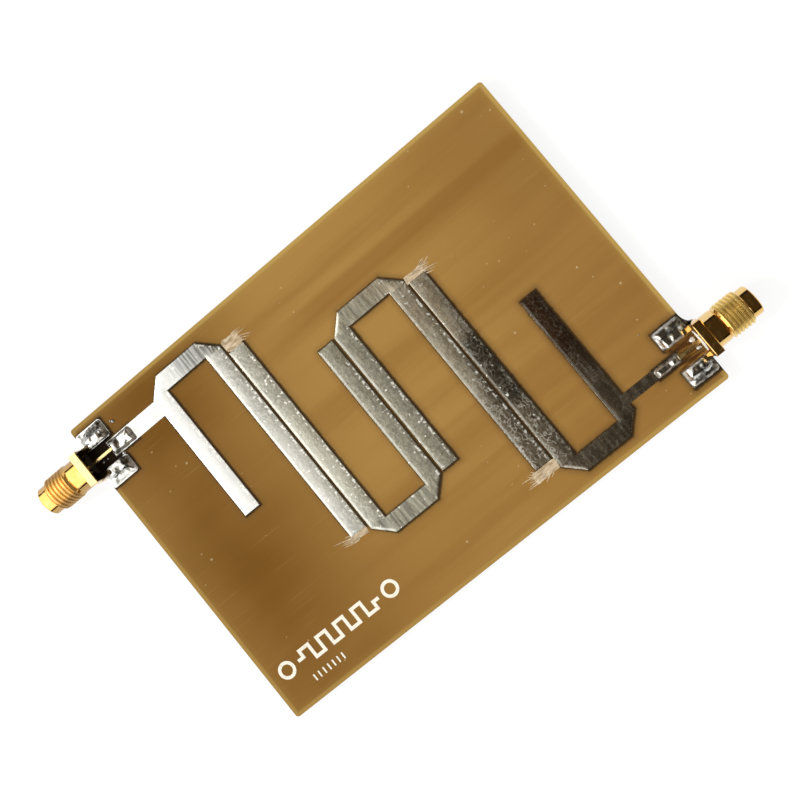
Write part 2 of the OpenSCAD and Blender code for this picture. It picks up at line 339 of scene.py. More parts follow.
def laminate_finish():
    """Amber laminate with its pale rim, resin streaks, specks, painted light and shade, painted shadow and
    flux beside the copper, and layered edges.
    """
    material, here = new_finish("glass_epoxy", IOR=1.5, Specular_IOR_Level=0.06)
    x, y, z = parts_of(here)
    clouds = mottle(here, 38, 2, stretch=(1, 1.6, 1))
    streaks = mottle(here, 260, 3, 0.42, 0.72, stretch=(0.06, 1, 1))
    band = spread(abs(y - resin_band_y), resin_band_half * 0.4, resin_band_half, 0.6, 0)
    hairs = mottle(here, 2600, 1, 0.62, 0.78, stretch=(0.03, 1, 1))
    from_edge = reckon("MINIMUM", board_half_x - abs(x), board_half_y - abs(y))
    lit_rim = blend(spread(x + y, -0.035, 0.040), rim_brown, rim_amber)
    painted_edge_line, shade_halo = painted_shade_beside_copper(here)
    flux_and_reflection_streaks = blend(mottle(here, 2400, 2, 0.42, 0.64, stretch=(0.12, 1, 1)), flux_and_shade_red, flux_and_reflection_gold)
    up = parts_of(add_node(here.tree, "ShaderNodeNewGeometry")["Normal"])[2]
    on_side = spread(abs(up), 0.3, 0.6, 1, 0)
    # The first layers paint light and shade across the board: darker at the left, lightest in the middle and
    # a little darker at the right. It is also painted darker towards the bottom, and a little lighter again
    # at the left edge.
    colour = paint(
        shaded_amber,
        (spread(x - 0.12 * y, -0.035, -0.005), lit_amber),
        (spread(x, -board_half_x, -0.036, 0.30, 0), lit_amber),
        (spread(x, 0.010, 0.044), dimmer_lit_amber),
        (spread(y, -0.004, -0.024, 0, 0.35), resin_dark),
        (clouds * 0.16, resin_pale),
        (streaks * spread(x, -0.030, -0.006, 0.26, 0.46), resin_dark),
        (band * spread(x, -0.014, 0.004), resin_dark),
        (hairs * 0.16, resin_pale),
        (mottle(here, 1100, 0, 0.845, 0.87) * 0.5, pale_speck),
        (spread(from_edge, bare_rim * 0.8, bare_rim * 2.6, 0.14, 0), lit_rim),
        (spread(from_edge, bare_rim * 0.6, bare_rim * 1.15, 0.85, 0), lit_rim),
        # Painted shadow beside the copper, with a wider halo of painted shade and flux.
        (shade_halo * spread(x, -0.020, 0.030, 0.32, 0.70), shade_and_flux_brown),
        (painted_edge_line * 0.88, painted_shadow_dark),
        # Between the input's legs: painted shadow, near black. Between the output's: flux and painted shade,
        # streaked with painted gold reflections of the pin.
        (shade_and_flux_pool(here, "input", -1), painted_shadow_black),
        (shade_and_flux_pool(here, "output", 1), flux_and_reflection_streaks),
        (on_side * spread(reckon("PINGPONG", z, ply / 2), 0, ply / 2, 0.35, 1), cut_edge),
    )
    rough = most(spread(clouds, 0, 1, 0.5, 0.6), on_side * 0.8)
    cloth = raised(mottle(here, 1800, 1, 0.2, 0.8), 0.15, 0.00001)
    return coat(material, Base_Color=colour, Roughness=rough, Normal=cloth)


def dress(node, material):
    """Gives a CAD piece its finish."""
    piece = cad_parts[node]
    piece.data.materials.clear()
    piece.data.materials.append(material)
    return piece


bevel = dress("substrate", laminate_finish()).modifiers.new("soft_edges", "BEVEL")
bevel.width = cut_edge_bevel
bevel.segments = 2
bevel.limit_method = "ANGLE"
bevel.angle_limit = math.radians(40)
bevel.harden_normals = True

# The ground plane is the copper foil of the underside, left whole and set back from the cut edges.
bare_copper = (0.55, 0.26, 0.13, 1)
dull_copper = (0.28, 0.12, 0.07, 1)


def copper_finish():
    """Bare copper foil that has gone dull in clouds."""
    material, here = new_finish("copper", Metallic=1)
    tarnish = mottle(here, 70, 4)
    colour = blend(tarnish, bare_copper, dull_copper)
    return coat(material, Base_Color=colour, Roughness=spread(tarnish, 0, 1, 0.25, 0.5))


dress("ground_plane", copper_finish())

# The resonators, their feed lines and the ground pads are etched copper foil, tinned by hand with an
# iron. The tin is thickest along the middle of a trace and rounds off at its edges, and it froze with
# a fine grain, drawn along the strokes of the iron. The last hairpins were tinned thin and stayed dull.
tin_white = (0.67, 0.67, 0.65, 1)
tin_grey = (0.54, 0.52, 0.42, 1)
tin_painted_highlight = (0.86, 0.85, 0.79, 1)
tin_pale = (0.76, 0.68, 0.53, 1)
tin_brown = (0.225, 0.172, 0.118, 1)
tin_dusk = (0.285, 0.232, 0.168, 1)
tin_burnt = (0.135, 0.074, 0.041, 1)
tin_scorched = (0.105, 0.088, 0.064, 1)
bar_top = -0.0245
scorch_middle = (0.0178, -0.0063, 0)
scorch_half = (0.0010, 0.0055, 1)
feed_burn_end = -0.0398
tin_wall = 0.00003
tin_lip = 0.00004
tin_shoulder = 0.00006
tin_crown = 0.00003
tin_ripple = 0.000006
ripple_len = 0.0011
ripple_margin = 0.0002
half_trace = trace_w / 2
tin_step = 0.00035
edge_steps = (0.00002, 0.00005, 0.00010, 0.00020)
pad_r = 0.0005
corner_points = 7


def inset_of(point, corners):
    """How far inside an outline a point lies, and how far the nearest side faces along X: -1 to 1."""
    nearest = (math.inf, 0)
    turn = sum(corners[i - 1].x * c.y - c.x * corners[i - 1].y for i, c in enumerate(corners))
    for i, end in enumerate(corners):
        start = corners[i - 1]
        along = end - start
        share = max(0, min(1, (point - start).dot(along) / along.length_squared))
        away = (point - start - along * share).length
        nearest = min(nearest, (away, math.copysign(1, turn) * along.y / along.length))
    return nearest


def cut_across(shape, axis, position):
    """Cuts every face that a plane square to one axis meets."""
    normal = Vector((axis == 0, axis == 1, 0))
    geometry = shape.verts[:] + shape.edges[:] + shape.faces[:]
    bmesh.ops.bisect_plane(shape, geom=geometry, dist=1e-7, plane_co=normal * position, plane_no=normal)


def place_object(name, data):
    """A new object in the scene."""
    placed = bpy.data.objects.new(name, data)
    bpy.context.scene.collection.objects.link(placed)
    return placed


def finish_mesh(name, shape, material, crease=40):
    """A piece made from a bmesh, with smooth faces and edges that stay sharp past an angle."""
    mesh = bpy.data.meshes.new(name)
    shape.to_mesh(mesh)
    shape.free()
    mesh.shade_smooth()
    mesh.set_sharp_from_angle(angle=math.radians(crease))
    mesh.materials.append(material)
    return place_object(name, mesh)


def lay_skin(name, corners, base, step, height, material, near=()):
    """A closed skin on a flat outline. height(point, inset) says how high its top is over the base.
    The mesh keeps each point's distance from the outline and the way its side faces, for its finish."""
    shape = bmesh.new()
    kept_inset = shape.verts.layers.float.new("inset")
    kept_facing = shape.verts.layers.float.new("facing")
    shape.faces.new([shape.verts.new((c.x, c.y, 0)) for c in corners])
    for axis in (0, 1):
        low = min(c[axis] for c in corners)
        high = max(c[axis] for c in corners)
        count = max(2, round((high - low) / step))
        places = {low + (high - low) * k / count for k in range(1, count)}
        places |= {corner[axis] + side * reach for corner in corners for side in (-1, 1) for reach in near}
        for position in sorted(p for p in places if low < p < high):
            cut_across(shape, axis, position)
    rim = [e for e in shape.edges if e.is_boundary]
    walls = bmesh.ops.extrude_edge_only(shape, edges=rim)["geom"]
    foot = [g for g in walls if isinstance(g, bmesh.types.BMEdge) and g.is_boundary]
    below = {v for edge in foot for v in edge.verts}
    bmesh.ops.edgeloop_fill(shape, edges=foot)
    for vertex in shape.verts:
        point = Vector((vertex.co.x, vertex.co.y))
        inset, facing = inset_of(point, corners)
        vertex[kept_inset] = 0 if vertex in below else inset
        vertex[kept_facing] = facing
        vertex.co.z = base if vertex in below else base + height(point, vertex[kept_inset])
    bmesh.ops.recalc_face_normals(shape, faces=shape.faces)
    return finish_mesh(name, shape, material)


def fix(piece, node=None):
    """Fixes a piece to the board, in place of a CAD node if it stands for one."""
    if node:
        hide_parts(node)
    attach(piece, "root")


def make_solder_skin():
    """The frozen surface of tin or solder: a fine grain, with dull patches where it cooled slowly."""
    effect, given = new_effect(
        "solder_skin", Place=(0, 0, 0), Grain_Per_Metre=4000, Grain_Depth=0.5, Dull_Per_Metre=500
    )
    dull = spread(speckle(given["Place"], given["Dull Per Metre"], 3)["Fac"], 0.42, 0.68)
    grain = speckle(given["Place"], given["Grain Per Metre"], 2)["Fac"]
    return end_effect(effect, Dull=dull, Normal=raised(grain, given["Grain Depth"], 0.00002))


solder_skin = make_solder_skin()


def kept_in_mesh(here, name):
    """A number that the mesh keeps for each of its points."""
    return add_node(here.tree, "ShaderNodeAttribute", attribute_name=name)["Fac"]


def tin_finish():
    """Tinned copper: bright and smooth at the input, grainy in the middle, brown and dull at the output, with
    painted highlights.
    """
    material, here = new_finish("tinned_copper", Metallic=1)
    x, y = parts_of(here)[:2]
    late = x - 0.4 * y
    scorched = spread(way_to(here, scorch_middle, scorch_half), 0, 0.0028, 0.9, 0)
    last = spread(x + 5 * most(bar_top - y, 0), 0.0195, 0.0245)
    on_feed = spread(abs(y - axis_of("input").y), 0.0017, 0.0019, 1, 0)
    feed_end = spread(x, feed_burn_end - 0.0014, feed_burn_end, 0.9, 0)
    colour = paint(
        tin_white,
        (spread(x, -0.024, -0.010), tin_grey),
        (spread(x, 0.004, 0.016), tin_pale),
        (spread(late, 0.0142, 0.0192, 0, 0.76), tin_brown),
        (last * 0.95, tin_dusk),
        (scorched, tin_scorched),
        (spread(x, 0.024, 0.028) * spread(y, -0.020, -0.009), tin_burnt),
        (feed_end * on_feed, tin_scorched),
    )

    grain = mottle(here, 2900, 1, 0.30, 0.70)
    curds = mottle(here, 1500, 1, 0.38, 0.64, stretch=(1, 0.75, 1))
    strokes = mottle(here, 1300, 2, 0.40, 0.62, stretch=(1, 0.14, 1))
    shiny = spread(x, -0.012, -0.006, 0.6, 0) * spread(abs(y), 0.003, 0.014, 1, 0)
    grainy = spread(x, -0.030, -0.012, 0.15, 1) * spread(last, 0, 1, 1, 0.30) * (1 - shiny)
    rubbed = (grain * 0.22 + curds * 0.18 + strokes * 0.14) * grainy
    bars = nearest_strip(here, [strip for strip in copper_strips() if strip[2]])
    on_bar = spread(bars, 0, 0.0005, 1, 0) * spread(x, -0.027, -0.022)
    hatch = mottle(here, 2200, 1, 0.40, 0.60, stretch=(1, 0.05, 1))
    dulled = spread(x, -0.026, -0.022) * spread(x, -0.016, 0.002, 0.32, -0.10) + last * 0.24
    hatched = hatch * spread(last, 0, 1, 0.34, 0.12) + dulled + 0.03
    colour = dim(colour, 1 - (rubbed + on_bar * (hatched - rubbed)))

    # Painted highlights follow: a bright line along the tin's edges that face -X, a chain of glints along the
    # edges that face +X, and squiggles and flecks of painted highlight on the grain.
    inset, facing = kept_in_mesh(here, "inset"), kept_in_mesh(here, "facing")
    past_rim = spread(inset, 0.00006, 0.00022)
    painted_edge_line = past_rim * spread(inset, 0.00028, 0.00056, 1, 0) * spread(facing, -0.9, -0.5, 1, 0.12)
    painted_edge_line = painted_edge_line * spread(x, 0.012, 0.026, 0.62, 0.50)
    glint_chain = past_rim * spread(inset, 0.00045, 0.00080, 1, 0) * spread(facing, 0.3, 0.8)
    glint_chain = glint_chain * mottle(here, 1900, 0, 0.52, 0.64) * spread(x, 0.016, 0.022, 1, 0.1)
    highlight_worms = spread(abs(curds - 0.5), 0.10, 0.40, 1, 0) * spread(late, 0.0130, 0.0170)
    highlight_worms = highlight_worms * spread(last, 0, 1, 0.72, 0.24) * spread(scorched, 0, 0.9, 1, 0.4)
    highlight_worms = highlight_worms * spread(mottle(here, 620, 1, 0.42, 0.56), 0, 1, 0.4, 1)
    glint_flecks = mottle(here, 1200, 1, 0.70, 0.76) * spread(x, 0.018, 0.022, 1, 0.4)
    painted_highlights = most(painted_edge_line, glint_chain, highlight_worms, glint_flecks)
    colour = blend(painted_highlights, colour, tin_painted_highlight)

    rough = strokes * spread(last, 0, 1, 0.10, 0.07) + spread(x, 0.012, 0.028, 0.24, 0.21)
    depth = spread(x, -0.026, -0.012, 0.25, 0.8) * spread(x, 0.020, 0.026, 1, 0.35)
    skin = use_effect(solder_skin, here, Grain_Per_Metre=1700, Dull_Per_Metre=700, Grain_Depth=depth)
    return coat(material, Base_Color=colour, Roughness=most(rough, painted_highlights * 0.45), Normal=skin["Normal"])


def rounded_box(low, high, radius):
    """The outline of a rectangle with round corners."""
    outline = []
    for quarter in range(4):
        cx = high.x - radius if quarter in (0, 3) else low.x + radius
        cy = high.y - radius if quarter < 2 else low.y + radius
        for k in range(corner_points):
            angle = math.pi / 2 * (quarter + k / (corner_points - 1))
            outline.append(Vector((cx + radius * math.cos(angle), cy + radius * math.sin(angle))))
    return outline


def rounding(inset, reach):
    """A quarter circle's height over its foot, from 0 at a side to 1 a reach inside it."""
    return math.sqrt(1 - (1 - min(inset / reach, 1)) ** 2)


def arching(inset, reach):
    """A parabola's height over its foot, from 0 at a side to 1 a reach inside it."""
    return 1 - (1 - min(inset / reach, 1)) ** 2


def waver(point, level, length):
    """A soft noise over the board, between -1 and 1. Each level has its own pattern."""
    return noise.noise(Vector((point.x, point.y, level)) / length)


def tin_height(point, inset):
    """How high the tin stands on the board at a point of a trace."""
    ripple = waver(point, 0, ripple_len) * min(inset / ripple_margin, 1)
    shoulder, crown = rounding(inset, tin_shoulder), arching(inset, half_trace)
    return tin_wall + tin_lip * shoulder + tin_crown * crown + tin_ripple * ripple


tin = tin_finish()
for node in hairpins + pads:
    low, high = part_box(node)
    outline = rounded_box(low, high, pad_r) if node in pads else top_outline(node)
    near = edge_steps if node in hairpins else ()
    trace = lay_skin(f"{node}_tinned", outline, board_high.z, tin_step, tin_height, tin, near)
    fix(trace, node)

# Each socket's shell is turned from one brass bar, milled to a square flange with four legs, and gold
# plated. Behind the 1/4-36 thread come a relief groove and a plain shoulder, and in front a nose that
# is bored to take a plug.
flange_half = 0.00325
flange_t = 0.0016
flange_r = 0.00035
flange_bevel = 0.00012
leg_w = 0.001
leg_len = 0.0043
leg_bevel = 0.00007
shoulder_r = 0.003
shoulder_end = 0.0040
shoulder_fillet = 0.00005
groove_r = 0.002675
thread_start = 0.0044
run_in_end = 0.0046
thread_end = 0.0087
thread_r = 0.003175
thread_bevel = 0.0003
thread_pitch = 0.0254 / 36
thread_depth = 0.00026
thread_flat = 0.28
nose_r = 0.0027
socket_end = 0.0105
nose_bevel = 0.00015
turned_bevel = 0.0001
mate_r = 0.0023
mate_end = 0.0086
bore_r = 0.00205
turns_around = 96
rings_per_pitch = 14
gold_warm = (0.80, 0.47, 0.13, 1)
gold_worn = (0.84, 0.55, 0.21, 1)
pale_gold_and_sheen = (0.86, 0.63, 0.30, 1)
gold_painted_highlight = (0.98, 0.74, 0.26, 1)
gold_painted_dark_reflection = (0.46, 0.29, 0.12, 1)
thread_root_dark = (0.16, 0.075, 0.018, 1)
thread_satin = 0.34


def make_turned():
    """Fine rings that the lathe left round the X axis, with soft unevenness in the plating."""
    effect, given = new_effect("turned", Place=(0, 0, 0), Rings_Per_Metre=9000, Ring_Depth=0.2)
    rings = speckle(given["Place"] * (1, 0.05, 0.05), given["Rings Per Metre"], 1)["Fac"]
    worn = spread(speckle(given["Place"], 900, 3)["Fac"], 0.45, 0.7)
    return end_effect(effect, Worn=worn, Normal=raised(rings, given["Ring Depth"], 0.00001))


turned = make_turned()


def gold_finish(name, ring_depth, smooth, rough):
    """Bright gold plate, a little paler and rougher where it has been handled, and satin on the thread, with
    painted highlights, reflections and shadow.
    """
    material, here = new_finish(name, Metallic=1)
    lathe = use_effect(turned, here, Ring_Depth=ring_depth)
    along, across = parts_of(here)[:2]
    at_input, at_output = spread(along, 0, 0.01, 1, 0), spread(along, 0, 0.01)
    barrel_start = board_half_x + flange_t
    on_flange = spread(along, -barrel_start - 0.0001, -barrel_start, 0, 0.9)
    # The input's flange and legs are painted paler, a painted highlight.
    colour = paint(gold_warm, (lathe["Worn"], gold_worn), (on_flange * at_input, pale_gold_and_sheen))
    # The sides of each barrel carry a painted reflection: darker at the input, paler at the output.
    for end, side, side_reflection in (("input", -1, gold_painted_dark_reflection), ("output", 1, pale_gold_and_sheen)):
        on_barrel = spread(along, side * barrel_start, side * (barrel_start + 0.0002), 0, 0.85)
        on_side = spread(abs(across - axis_of(end).y), 0.0016, 0.0025)
        colour = blend(on_barrel * on_side, colour, side_reflection)

    on_leg = spread(abs(along), board_half_x - 0.0001, board_half_x + 0.0002, 1, 0)
    beside_pin = spread(abs(across - axis_of("input").y), 0.0012, 0.0016, 0, 0.94)
    half_thread = (thread_end - thread_start) / 2
    from_thread = abs(abs(along) - (board_half_x + thread_start + half_thread))
    on_thread = spread(from_thread, half_thread - thread_bevel, half_thread, 1, 0)
    # The legs are paler. Beside the input's pin they are painted black, a painted shadow, and the output's
    # thread is painted lighter and yellower, a painted highlight.
    colour = paint(
        colour,
        (on_leg * 0.75, pale_gold_and_sheen),
        (on_leg * beside_pin * at_input, painted_shadow_black),
        (on_thread * at_output * 0.9, gold_painted_highlight),
    )
    # The roots of the thread are painted darker, more at the output.
    for end, root_dark_share in (("input", 0.1), ("output", 0.3)):
        from_root = abs(reckon("LENGTH", (here - axis_of(end)) * (0, 1, 1)) - (thread_r - thread_depth))
        root = spread(from_root, thread_depth * 0.2, thread_depth * 0.8, root_dark_share, 0)
        colour = blend(root * on_thread, colour, thread_root_dark)
    satin = spread(lathe["Worn"], 0, 1, smooth, rough) + on_thread * (thread_satin - at_output * 0.04)
    return coat(material, Base_Color=colour, Roughness=satin, Normal=lathe["Normal"])


def flange_reach(angle, inset):
    """How far from the axis the flange's outline lies, set in by a bevel."""
    c, s = abs(math.cos(angle)), abs(math.sin(angle))
    half = flange_half - inset
    corner = half - flange_r
    reach = half / max(c, s)
    if min(c, s) * reach > corner:
        along = corner * (c + s)
        reach = along + math.sqrt(along ** 2 - 2 * corner ** 2 + flange_r ** 2)
    return reach


def thread_reach(x, angle):
    """How far from the axis the thread's surface lies: a right-hand thread with narrow flats."""
    turn = ((x - thread_start) / thread_pitch - angle / math.tau) % 1
    ridge = (abs(2 * turn - 1) - thread_flat) / (1 - 2 * thread_flat)
    reach = thread_r - thread_depth * (1 - max(0, min(1, ridge)))
    run_in = groove_r + (thread_r - groove_r) * (x - shoulder_end) / (run_in_end - shoulder_end)
    return min(reach, run_in, thread_r - max(0, thread_bevel - (thread_end - x)))


def thread_rings():
    """Rings that climb the helix by one pitch each, so that a ring keeps to one line of the ridge."""
    rings = []
    count = math.ceil((thread_end - thread_start) / thread_pitch * rings_per_pitch)
    for k in range(-rings_per_pitch, count + 1):
        def station(angle, k=k):
            """Where this ring lies along the axis at an angle."""
            x = thread_start + (k / rings_per_pitch + angle / math.tau) * thread_pitch
            return max(thread_start, min(thread_end, x))

        rings.append((station, lambda angle, station=station: thread_reach(station(angle), angle)))
    return rings


def shell_rings():
    """The shell's section, from the back of the bore round the outside to the front and back inside.
    Each ring is its station on the axis and its distance from it, as numbers or functions of angle."""
    rings = [
        (0, bore_r),
        (0, lambda a: flange_reach(a, flange_bevel)),
        (flange_bevel, lambda a: flange_reach(a, 0)),
        (flange_t - flange_bevel, lambda a: flange_reach(a, 0)),
        (flange_t, lambda a: flange_reach(a, flange_bevel)),
        (flange_t, shoulder_r + shoulder_fillet),
        (flange_t + shoulder_fillet, shoulder_r),
        (shoulder_end - turned_bevel, shoulder_r),
        (shoulder_end, shoulder_r - turned_bevel),
        (shoulder_end, groove_r),
    ]
    first = len(rings)
    rings += thread_rings()
    last = len(rings) - 1
    rings += [
        (thread_end, nose_r),
        (socket_end - nose_bevel, nose_r),
        (socket_end, nose_r - nose_bevel),
        (socket_end, mate_r + turned_bevel),
        (socket_end - turned_bevel, mate_r),
        (mate_end, mate_r),
        (mate_end, bore_r),
    ]
    return rings, first, last


def bridge(shape, loops):
    """Joins each loop of corners to the next by faces. A loop ends with the corner that closes it."""
    for this, after in zip(loops, loops[1:]):
        for k in range(len(this) - 1):
            corners = dict.fromkeys((this[k], this[k + 1], after[k + 1], after[k]))
            if len(corners) > 2:
                shape.faces.new(corners)


def turn_shell(name, edge_x, axis, facing, material):
    """One shell at the board's edge. facing is 1 where it points along +X and -1 where it points back."""
    shape = bmesh.new()
    loops = []
    rings, first, last = shell_rings()
    for station, reach in rings:
        loop = []
        for k in range(turns_around):
            angle = math.tau * k / turns_around
            x = station(angle) if callable(station) else station
            r = reach(angle) if callable(reach) else reach
            loop.append(shape.verts.new((x, r * math.cos(angle), r * math.sin(angle))))
        loops.append(loop)
    for i, loop in enumerate(loops):
        in_thread = first <= i <= last
        loop.append(loops[min(i + rings_per_pitch, last)][0] if in_thread else loop[0])
    bridge(shape, loops + loops[:1])
    bmesh.ops.remove_doubles(shape, verts=shape.verts, dist=1e-8)
    for side in (-1, 1):
        for top in (leg_top, -flange_half + leg_w):
            middle = Vector(((flange_t / 2 - leg_len) / 2, side * (flange_half - leg_w / 2), top - leg_w / 2))
            size = Matrix.Diagonal((leg_len + flange_t / 2, leg_w, leg_w, 1))
            leg = bmesh.ops.create_cube(shape, size=1, matrix=Matrix.Translation(middle) @ size)["verts"]
            edges = list({e for v in leg for e in v.link_edges})
            bmesh.ops.bevel(shape, geom=edges, offset=leg_bevel, segments=2, affect="EDGES", profile=0.5)
    bmesh.ops.recalc_face_normals(shape, faces=shape.faces)
    turn = Matrix.Identity(4) if facing > 0 else Matrix.Rotation(math.pi, 4, "Z")
    shape.transform(Matrix.Translation((edge_x, axis.y, axis.z)) @ turn)
    return finish_mesh(name, shape, material, crease=32)


gold_plate = gold_finish("gold_plate", 0.12, 0.1, 0.2)
leg_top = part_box("input_pad_outer")[1].z + leg_w - axis_of("input").z
for end, facing in (("input", -1), ("output", 1)):
    shell = turn_shell(f"{end}_shell_threaded", facing * board_half_x, axis_of(end), facing, gold_plate)
    fix(shell, f"{end}_shell")

# The dielectric of each socket is a turned plug of white PTFE, pressed into the shell. It carries the
# gold-plated contact: a pin at the board side, and at the front a bored end with four slots. The board
# side of the input's one is painted black, a painted shadow.
ptfe_white = (0.86, 0.85, 0.80, 1)
ptfe_shade = (0.74, 0.72, 0.66, 1)
ptfe_glow = (0.0006, 0.0005, 0.0004)


def ptfe_finish():
    """White PTFE, smooth and a little waxy."""
    material, here = new_finish(
        "white_dielectric", Subsurface_Weight=0.15, Subsurface_Radius=ptfe_glow, IOR=1.35
    )
    along = parts_of(here)[0]
    marks = mottle(here, 1500, 3)
    # The input's board-side face is painted black, a painted shadow.
    shaded_face = spread(along, -board_half_x - 0.0003, -board_half_x - 0.0001, 0, 0.95)
    shaded_face = shaded_face * spread(along, 0, 0.01, 1, 0)
    colour = paint(ptfe_white, (marks, ptfe_shade), (shaded_face, painted_shadow_black))
    return coat(material, Base_Color=colour, Roughness=spread(marks, 0, 1, 0.35, 0.5))


ptfe = ptfe_finish()
gold_contact = gold_finish("gold_contact", 0.08, 0.24, 0.34)
for end in ("input", "output"):
    dress(f"{end}_insulator", ptfe)
    dress(f"{end}_contact", gold_contact)

# The joints are soldered by hand. Solder wets each pad to near its edge, climbs to the leg or pin in
# a hollow slope and covers the end of it, and it froze bright with some lumps and dull patches.
solder_bright = (0.74, 0.73, 0.70, 1)
solder_dull = (0.20, 0.195, 0.18, 1)
dross = (0.062, 0.056, 0.045, 1)
dross_patches = (
    ((-0.0420, 0.0292, 0), (0.0013, 0.0005, 1)),
    ((-0.0412, 0.0213, 0), (0.0001, 0.0004, 1)),
    ((-0.0420, 0.0250, 0), (0.0004, 0.0009, 1)),
    ((0.0457, -0.0202, 0), (0.0003, 0.0007, 1)),
    ((0.0444, -0.0272, 0), (0.0008, 0.0003, 1)),
)
solder_rim = 0.00008
solder_edge = 0.3 * solder_rim
solder_step = 0.00013
solder_film = 0.00016
solder_crown = 0.0001
crown_reach = 0.0006
slope_power = 1.8
past_end = 0.0004
bare_leg = 0.0015
solder_margin = 0.0001
foot_r = 0.0006
crest_r = 0.0002
solder_lump = 0.00016
lump_len = 0.0011
fine_lump = 0.000035
fine_lump_len = 0.0005
lump_fade = 0.0005
pin_lump_fade = 0.0006
wetted_leg = 0.85 * leg_w
outline_step = 0.0006
outline_sway = 0.00018
sway_len = 0.0009
soft_crest = 0.0003
pin_flank = 0.00075
pin_dome_power = 2.6
pin_dip = 0.00018
pin_dip_half = 0.0009
pin_tip = -0.0055
pin_crest_end = -0.0044
pin_half = 0.0004


def swayed(outline):
    """An outline drawn in here and there, as solder wets its pad unevenly."""
    middle = sum(outline, Vector((0, 0))) / len(outline)
    drawn = []
    for i, corner in enumerate(outline):
        following = outline[(i + 1) % len(outline)]
        count = max(1, round((following - corner).length / outline_step))
        for k in range(count):
            point = corner.lerp(following, k / count)
            pull = outline_sway * (0.5 + waver(point, 0.7, sway_len))
            drawn.append(point + (middle - point).normalized() * pull)
    return drawn


def outside_of(point, low, high, radius):
    """How far outside a rectangle with round corners a point lies, or less than 0 inside it."""
    middle, half = (low + high) / 2, (high - low) / 2
    over = Vector((abs(point.x - middle.x) - half.x + radius, abs(point.y - middle.y) - half.y + radius))
    outer = Vector((max(over.x, 0), max(over.y, 0))).length
    return outer + min(max(over.x, over.y), 0) - radius


def lumps(point, level):
    """How far solder stands proud or hollow at a point, in broad and fine lumps."""
    return solder_lump * waver(point, level, lump_len) + fine_lump * waver(point, level, fine_lump_len)


def solder_finish():
    """Solder that froze bright, with dull patches, and with dross and burnt flux lying on some of it."""
    material, here = new_finish("solder", Metallic=1)
    skin = use_effect(solder_skin, here, Grain_Per_Metre=2500, Grain_Depth=0.35, Dull_Per_Metre=900)
    foul = most(*(spread(way_to(here, middle, half), 0, 0.0010, 1, 0) for middle, half in dross_patches))
    crusted = foul * spread(mottle(here, 1500, 2, 0.36, 0.60), 0, 1, 0.35, 1)
    colour = paint(solder_bright, (skin["Dull"], solder_dull), (crusted, dross))
    feathered = spread(kept_in_mesh(here, "inset"), 0.0002, 0.0007, 0.5, 0)
    rough = most(spread(skin["Dull"], 0, 1, 0.10, 0.38), foul * 0.32, feathered)
    return coat(material, Base_Color=colour, Roughness=rough, Normal=skin["Normal"])


def flow_solder(node, crest_low, crest_high, top, downward=False):
    """The solder of one joint, on the foot that its CAD piece has. The crest is where it is highest."""
    low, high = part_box(node)
    foot_low, foot_high = Vector((low.x, low.y)), Vector((high.x, high.y))
    base = high.z if downward else low.z
    rise = abs(top - base)

    def leg_height(point, inset):
        """A hollow slope that climbs from the foot's sides to the crest."""
        sides = (point.x - foot_low.x, foot_high.x - point.x, point.y - foot_low.y, foot_high.y - point.y)
        inner = sum(max(d, 1e-5) ** -3 for d in sides) ** (-1 / 3) if inset > 0 else 0
        outside = outside_of(point, crest_low, crest_high, crest_r)
        away = math.hypot(max(0, outside), soft_crest) - soft_crest
        climb = inner / (inner + away) if inner > 0 else 0
        slope = solder_rim + (rise - solder_rim) * climb ** slope_power
        crown = solder_crown * arching(max(0, -outside), crown_reach)
        return max(solder_edge, slope + crown + lumps(point, 0.3) * min(inset / lump_fade, 1))

    def pin_height(point, inset):
        """A long dome that dips in the middle."""
        dome = 1 - (1 - min(inset / pin_flank, 1)) ** pin_dome_power
        dip = pin_dip * math.exp(-((point.x - (foot_low.x + foot_high.x) / 2) / pin_dip_half) ** 2)
        return solder_edge + (rise - dip) * dome + lumps(point, 0.9) * min(inset / pin_lump_fade, 1)

    def depth(point, inset):
        """A leg's joint that hangs under the board."""
        return solder_lump - leg_height(point, inset)

    height = depth if downward else pin_height if node.endswith("pin_solder") else leg_height
    outline = swayed(rounded_box(foot_low, foot_high, foot_r))
    fix(lay_skin(f"{node}_flow", outline, base, solder_step, height, solder), node)


def crest_box(end, facing, near, far, side_low, side_high):
    """The two corners of a crest, from stations and offsets in the socket's own frame."""
    axis = axis_of(end)
    xs = sorted((facing * (board_half_x + near), facing * (board_half_x + far)))
    ys = sorted((axis.y + side_low, axis.y + side_high))
    return [Vector(corner) for corner in zip(xs, ys)]


solder = solder_finish()
for end, facing in (("input", -1), ("output", 1)):
    half_crest = pin_half + solder_margin
    crest = crest_box(end, facing, pin_tip - past_end, pin_crest_end, -half_crest, half_crest)
    flow_solder(f"{end}_pin_solder", *crest, axis_of(end).z + pin_half + solder_film)
    for row, side in (("outer", -facing), ("inner", facing)):
        inner, outer = side * (flange_half - leg_w), side * (flange_half + past_end)
        crest = crest_box(end, facing, -leg_len - past_end, -bare_leg, inner, outer)
        flow_solder(f"{end}_solder_top_{row}", *crest, axis_of(end).z + leg_top + solder_film)
        flow_solder(f"{end}_solder_bottom_{row}", *crest, plane_low.z - wetted_leg, downward=True)

